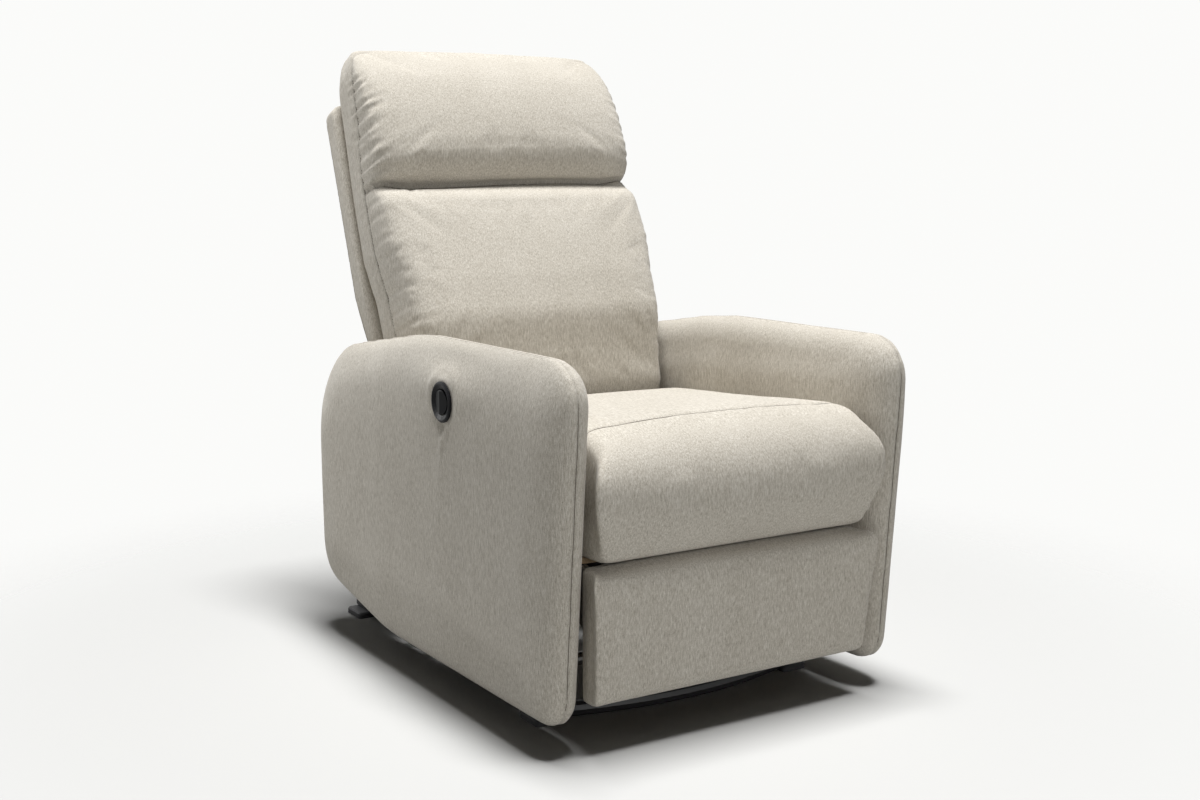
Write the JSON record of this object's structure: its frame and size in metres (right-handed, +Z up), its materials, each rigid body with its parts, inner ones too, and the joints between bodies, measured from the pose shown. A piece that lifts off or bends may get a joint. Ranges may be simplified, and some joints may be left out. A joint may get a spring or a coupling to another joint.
{
  "type": "power lift recliner",
  "caption": "Upholstered power lift recliner with slab arms, head roll, folding footrest linkage, reclining back, round arm switch and a four-bar lift base that tips the chair forward.",
  "frame": {"origin": "centre of the bounding box on the floor, under the chair as pictured: down, upright and closed", "axes": "+Z up, the chair faces -Y, +X is the sitter's left; the switch is in the arm at -X"},
  "size_m": [0.6955, 1.0022, 1.0809],
  "materials": {
    "fabric": "heathered light greige upholstery weave",
    "plywood": "unfinished plywood, hidden under the cover",
    "foot_plastic": "matt black moulded foot",
    "black_paint": "black powder coat",
    "gloss_black": "glossy black moulding",
    "black_plastic": "matt black moulding",
    "sleeve_aluminium": "drawn tube",
    "zinc_steel": "zinc-plated pressed steel"
  },
  "bodies": {
    "base": {"base_rail_left": "black_paint", "base_rail_right": "black_paint", "base_ear_left": "black_paint", "base_ear_right": "black_paint", "base_foot_front_left": "foot_plastic", "base_foot_front_right": "foot_plastic", "base_foot_rear_left": "foot_plastic", "base_foot_rear_right": "foot_plastic", "base_front_tube": "black_paint", "base_rear_tube": "black_paint", "lift_motor_lug": "black_paint"},
    "lift_front": {"lift_torque_tube": "zinc_steel", "lift_front_link_left": "zinc_steel", "lift_front_link_right": "zinc_steel"},
    "lift_rear": {"lift_rear_link_left": "zinc_steel", "lift_rear_link_right": "zinc_steel"},
    "lift_drive": {"lift_gear_case": "black_plastic", "lift_motor": "black_plastic", "lift_sleeve": "sleeve_aluminium"},
    "lift_rod": {"lift_rod": "zinc_steel"},
    "frame": {"side_plate_left": "zinc_steel", "side_plate_right": "zinc_steel", "frame_tube_front": "zinc_steel", "frame_tube_rear": "zinc_steel", "seat_deck": "plywood", "seat_cushion": "fabric", "arm_left": "fabric", "arm_right": "fabric", "arm_rail_left": "zinc_steel", "arm_rail_right": "zinc_steel", "control_box": "black_plastic", "switch_bezel": "gloss_black", "switch_body": "black_plastic", "foot_drive_channel": "zinc_steel", "foot_drive_motor": "black_plastic", "back_drive_channel": "zinc_steel", "back_drive_motor": "black_plastic"},
    "foot_drive": {"foot_torque_tube": "zinc_steel", "foot_drive_link_left": "zinc_steel", "foot_drive_link_right": "zinc_steel"},
    "foot_arm": {"foot_arm_left": "zinc_steel", "foot_arm_right": "zinc_steel"},
    "foot_reach": {"foot_reach_left": "zinc_steel", "foot_reach_right": "zinc_steel"},
    "foot_stay": {"foot_stay_left": "zinc_steel", "foot_stay_right": "zinc_steel"},
    "footrest": {"footrest_pad": "fabric", "footrest_board": "plywood", "footrest_bracket_left": "zinc_steel", "footrest_bracket_right": "zinc_steel"},
    "foot_slider": {"foot_drive_slider": "zinc_steel"},
    "back": {"back_bracket_left": "zinc_steel", "back_bracket_right": "zinc_steel", "back_hinge_tube": "zinc_steel", "back_board": "plywood", "back_cushion": "fabric", "back_panel": "fabric"},
    "back_slider": {"back_drive_slider": "zinc_steel"},
    "switch": {"switch_rocker": "gloss_black"}
  },
  "joints": [
    {"name": "lift", "type": "hinge", "parent": "base", "child": "lift_front", "pos_m": [0, -0.24, 0.075], "axis": [1, 0, 0], "range_deg": [0, 56]},
    {"name": "chair_tilt", "type": "hinge", "parent": "lift_front", "child": "frame", "pos_m": [0, 0.16, 0.105], "axis": [-1, 0, 0], "range_deg": [0, 34.01]},
    {"name": "lift_rear_swing", "type": "hinge", "parent": "base", "child": "lift_rear", "pos_m": [0, -0.17, 0.085], "axis": [1, 0, 0], "range_deg": [0, 52.12]},
    {"name": "lift_drive_nod", "type": "hinge", "parent": "base", "child": "lift_drive", "pos_m": [0, 0.375, 0.075], "axis": [1, 0, 0], "range_deg": [0, 0.537]},
    {"name": "lift_rod_push", "type": "slide", "parent": "lift_drive", "child": "lift_rod", "axis": [0, -0.9952, 0.0977], "range_m": [0, 0.06087]},
    {"name": "footrest_lift", "type": "hinge", "parent": "frame", "child": "foot_drive", "pos_m": [0, -0.2332, 0.268], "axis": [-1, 0, 0], "range_deg": [0, 89.51]},
    {"name": "foot_arm_swing", "type": "hinge", "parent": "frame", "child": "foot_arm", "pos_m": [0, -0.2541, 0.2456], "axis": [-1, 0, 0], "range_deg": [0, 90.23]},
    {"name": "foot_knee", "type": "hinge", "parent": "foot_arm", "child": "foot_reach", "pos_m": [0, -0.1868, 0.0722], "axis": [1, 0, 0], "range_deg": [0, 95.23]},
    {"name": "footrest_turn", "type": "hinge", "parent": "foot_reach", "child": "footrest", "pos_m": [0, -0.3747, 0.2198], "axis": [-1, 0, 0], "range_deg": [0, 94.99]},
    {"name": "foot_stay_swing", "type": "hinge", "parent": "foot_arm", "child": "foot_stay", "pos_m": [0, -0.2141, 0.1222], "axis": [1, 0, 0], "range_deg": [0, 95.21]},
    {"name": "foot_slider_run", "type": "slide", "parent": "frame", "child": "foot_slider", "axis": [0, -1, 0], "range_m": [0, 0.07051]},
    {"name": "back_recline", "type": "hinge", "parent": "frame", "child": "back", "pos_m": [0, 0.175, 0.335], "axis": [-1, 0, 0], "range_deg": [0, 40]},
    {"name": "back_slider_run", "type": "slide", "parent": "frame", "child": "back_slider", "axis": [0, -1, 0], "range_m": [0, 0.07808]},
    {"name": "switch_rock", "type": "hinge", "parent": "frame", "child": "switch", "pos_m": [-0.341, -0.139, 0.5005], "axis": [0, 0, 1], "range_deg": [-6, 6], "stiffness_Nm_per_rad": 0.6}
  ],
  "couplings": [
    {"joint": "chair_tilt", "follows": "lift", "ratio": 0.60714},
    {"joint": "lift_rear_swing", "follows": "lift", "ratio": 0.93048},
    {"joint": "lift_drive_nod", "follows": "lift", "ratio": 0.009416},
    {"joint": "lift_rod_push", "follows": "lift", "m_per_rad": 0.062173},
    {"joint": "foot_arm_swing", "follows": "footrest_lift", "ratio": 1.0078},
    {"joint": "foot_knee", "follows": "footrest_lift", "ratio": 1.0637},
    {"joint": "footrest_turn", "follows": "footrest_lift", "ratio": 1.061},
    {"joint": "foot_stay_swing", "follows": "footrest_lift", "ratio": 1.0635},
    {"joint": "foot_slider_run", "follows": "footrest_lift", "m_per_rad": 0.045068},
    {"joint": "back_slider_run", "follows": "back_recline", "m_per_rad": 0.1117}
  ]
}
